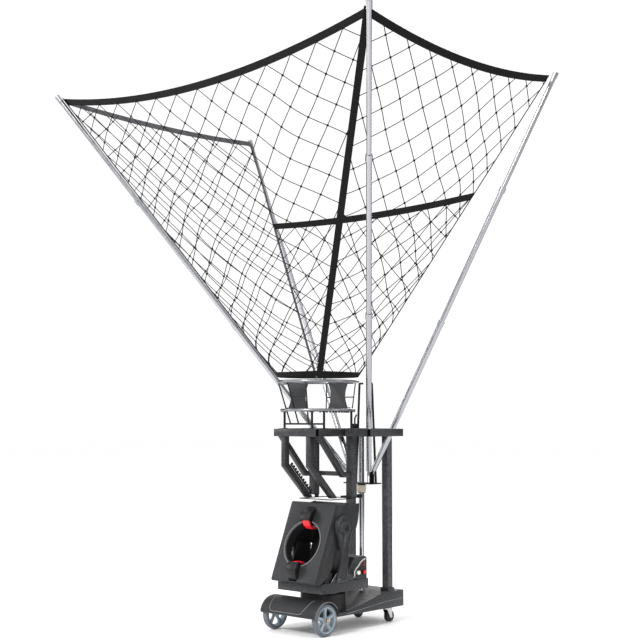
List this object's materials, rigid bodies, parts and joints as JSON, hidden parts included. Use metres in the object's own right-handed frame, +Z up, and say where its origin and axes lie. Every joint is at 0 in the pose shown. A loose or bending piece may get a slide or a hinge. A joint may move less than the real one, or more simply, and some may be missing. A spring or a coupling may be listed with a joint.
{
  "type": "ball throwing machine with catch net",
  "caption": "Wheeled ball launcher with two throwing wheels, tilting head on a turntable, ball chute under a catch ring and a funnel net on four folding poles.",
  "frame": {"origin": "on the floor under the middle of the bounding box", "axes": "+Z up, the ball leaves towards -Y, +X is the machine's right side seen from the front"},
  "size_m": [2.893, 1.8938, 3.6311],
  "materials": {
    "charcoal_plastic": "fine textured, satin",
    "charcoal_steel": "powder coated, satin",
    "dark_steel": "powder coated, satin",
    "black_plastic": "semi-gloss",
    "black_rubber": "matt",
    "tyre_grey": "matt",
    "hub_grey": "satin",
    "red_urethane": "satin",
    "chrome": "polished",
    "aluminium": "brushed",
    "steel": "satin",
    "net_cord": "knotted braided cord",
    "red_plastic": "gloss",
    "white_plastic": "gloss",
    "circuit_green": "satin"
  },
  "bodies": {
    "chassis": {"base_cover": "charcoal_plastic", "base_plate": "dark_steel", "pan_gearmotor": "steel", "power_supply": "aluminium", "pan_bearing_ring": "steel", "front_housing": "charcoal_plastic", "front_axle": "steel", "columns": "charcoal_steel", "middle_posts": "charcoal_steel", "chute_braces": "charcoal_steel", "deck_frame": "charcoal_steel", "chute_rails": "charcoal_steel", "chute_pads": "black_rubber", "intake_frame": "dark_steel", "upper_ring": "steel", "lower_ring": "steel", "ring_legs": "dark_steel", "guard_panels": "charcoal_plastic", "guard_rods": "dark_steel", "mast": "chrome", "latch_bracket": "dark_steel", "net_seams": "net_cord"},
    "front_wheel_left": {"front_tyre_left": "tyre_grey", "front_hub_left": "hub_grey"},
    "front_wheel_right": {"front_tyre_right": "tyre_grey", "front_hub_right": "hub_grey"},
    "caster_swivel_left": {"caster_fork_left": "chrome"},
    "caster_roller_left": {"caster_wheel_left": "black_rubber"},
    "caster_swivel_right": {"caster_fork_right": "chrome"},
    "caster_roller_right": {"caster_wheel_right": "black_rubber"},
    "turntable": {"pan_shaft": "steel", "tray": "charcoal_steel", "launcher_controller": "circuit_green", "yokes": "charcoal_plastic", "control_box": "charcoal_plastic", "control_panel": "black_plastic", "indicator_lamps": "red_plastic", "power_inlet": "black_plastic"},
    "button": {"start_button": "red_plastic"},
    "knob": {"speed_knob": "white_plastic"},
    "head": {"head_front_cover": "charcoal_plastic", "head_rear_cover": "charcoal_plastic", "throwing_motors": "steel", "wheel_guards": "black_plastic", "inner_cradle": "dark_steel", "ball_guide": "dark_steel", "tilt_hubs": "charcoal_plastic"},
    "upper_thrower": {"throwing_wheel_upper": "red_urethane"},
    "lower_thrower": {"throwing_wheel_lower": "red_urethane"},
    "carriage": {"carriage": "steel", "lift_arms": "charcoal_steel"},
    "lever": {"latch_lever": "dark_steel"},
    "front_left_pole": {"pole_front_left": "aluminium"},
    "front_right_pole": {"pole_front_right": "aluminium"},
    "rear_left_pole": {"pole_rear_left": "aluminium"},
    "rear_right_pole": {"pole_rear_right": "aluminium"},
    "front_panel": {"net_front": "net_cord"},
    "rear_panel": {"net_rear": "net_cord"},
    "left_panel": {"net_left": "net_cord"},
    "right_panel": {"net_right": "net_cord"}
  },
  "joints": [
    {"name": "front_wheel_left_spin", "type": "hinge", "parent": "chassis", "child": "front_wheel_left", "pos_m": [-0.221, 0.024, 0.104], "axis": [1, 0, 0], "continuous": true},
    {"name": "caster_left_swivel", "type": "hinge", "parent": "chassis", "child": "caster_swivel_left", "pos_m": [-0.14, 0.739, 0.09], "axis": [0, 0, 1], "continuous": true},
    {"name": "caster_left_roll", "type": "hinge", "parent": "caster_swivel_left", "child": "caster_roller_left", "pos_m": [-0.14, 0.764, 0.0375], "axis": [1, 0, 0], "continuous": true},
    {"name": "front_wheel_right_spin", "type": "hinge", "parent": "chassis", "child": "front_wheel_right", "pos_m": [0.221, 0.024, 0.104], "axis": [1, 0, 0], "continuous": true},
    {"name": "caster_right_swivel", "type": "hinge", "parent": "chassis", "child": "caster_swivel_right", "pos_m": [0.14, 0.739, 0.09], "axis": [0, 0, 1], "continuous": true},
    {"name": "caster_right_roll", "type": "hinge", "parent": "caster_swivel_right", "child": "caster_roller_right", "pos_m": [0.14, 0.764, 0.0375], "axis": [1, 0, 0], "continuous": true},
    {"name": "head_pan", "type": "hinge", "parent": "chassis", "child": "turntable", "pos_m": [0, 0.249, 0.25], "axis": [0, 0, 1], "range_deg": [-90, 90]},
    {"name": "head_tilt", "type": "hinge", "parent": "turntable", "child": "head", "pos_m": [0, 0.219, 0.674], "axis": [-1, 0, 0], "range_deg": [0, 12]},
    {"name": "upper_wheel_spin", "type": "hinge", "parent": "head", "child": "upper_thrower", "pos_m": [0, 0.14036, 0.71763], "axis": [1, 0, 0], "continuous": true},
    {"name": "lower_wheel_spin", "type": "hinge", "parent": "head", "child": "lower_thrower", "pos_m": [0, 0.01335, 0.40009], "axis": [1, 0, 0], "continuous": true},
    {"name": "button_press", "type": "slide", "parent": "turntable", "child": "button", "axis": [-1, 0, 0], "range_m": [0, 0.003], "stiffness_N_per_m": 300},
    {"name": "knob_turn", "type": "hinge", "parent": "turntable", "child": "knob", "pos_m": [0.19, 0.379, 0.369], "axis": [1, 0, 0], "range_deg": [-150, 150]},
    {"name": "latch_turn", "type": "hinge", "parent": "chassis", "child": "lever", "pos_m": [-0.024, 0.6, 1.336], "axis": [-1, 0, 0], "range_deg": [0, 40]},
    {"name": "carriage_slide", "type": "slide", "parent": "chassis", "child": "carriage", "axis": [0, 0, 1], "range_m": [-0.35, 0], "deforming": ["net_seams"]},
    {"name": "front_left_pole_fold", "type": "hinge", "parent": "carriage", "child": "front_left_pole", "pos_m": [-0.09, 0.614, 1.005], "axis": [-0.7554, 0.6552, 0], "range_deg": [0, 21.86]},
    {"name": "front_right_pole_fold", "type": "hinge", "parent": "carriage", "child": "front_right_pole", "pos_m": [0.09, 0.614, 1.005], "axis": [-0.7554, -0.6552, 0], "range_deg": [0, 21.86]},
    {"name": "rear_left_pole_fold", "type": "hinge", "parent": "carriage", "child": "rear_left_pole", "pos_m": [-0.09, 0.646, 1.005], "axis": [0.2066, 0.9784, 0], "range_deg": [0, 15.6]},
    {"name": "rear_right_pole_fold", "type": "hinge", "parent": "carriage", "child": "rear_right_pole", "pos_m": [0.09, 0.646, 1.005], "axis": [0.2066, -0.9784, 0], "range_deg": [0, 15.6]},
    {"name": "front_net_lean", "type": "hinge", "parent": "chassis", "child": "front_panel", "pos_m": [0, -0.006, 1.662], "axis": [-1, 0, 0], "range_deg": [0, 23.1], "deforming": ["net_front"]},
    {"name": "rear_net_lean", "type": "hinge", "parent": "chassis", "child": "rear_panel", "pos_m": [0, 0.404, 1.662], "axis": [1, 0, 0], "range_deg": [0, 4.4], "deforming": ["net_rear"]},
    {"name": "left_net_lean", "type": "hinge", "parent": "chassis", "child": "left_panel", "pos_m": [-0.205, 0.199, 1.662], "axis": [-0.3057, 0.9521, 0], "range_deg": [0, 19.8], "deforming": ["net_left"]},
    {"name": "right_net_lean", "type": "hinge", "parent": "chassis", "child": "right_panel", "pos_m": [0.205, 0.199, 1.662], "axis": [-0.3057, -0.9521, 0], "range_deg": [0, 19.8], "deforming": ["net_right"]}
  ],
  "couplings": [
    {"joint": "front_left_pole_fold", "follows": "carriage_slide", "rad_per_m": -1.0901},
    {"joint": "front_right_pole_fold", "follows": "carriage_slide", "rad_per_m": -1.0901},
    {"joint": "rear_left_pole_fold", "follows": "carriage_slide", "rad_per_m": -0.77792},
    {"joint": "rear_right_pole_fold", "follows": "carriage_slide", "rad_per_m": -0.77792},
    {"joint": "front_net_lean", "follows": "carriage_slide", "rad_per_m": -1.1519},
    {"joint": "rear_net_lean", "follows": "carriage_slide", "rad_per_m": -0.21941},
    {"joint": "left_net_lean", "follows": "carriage_slide", "rad_per_m": -0.98736},
    {"joint": "right_net_lean", "follows": "carriage_slide", "rad_per_m": -0.98736}
  ]
}
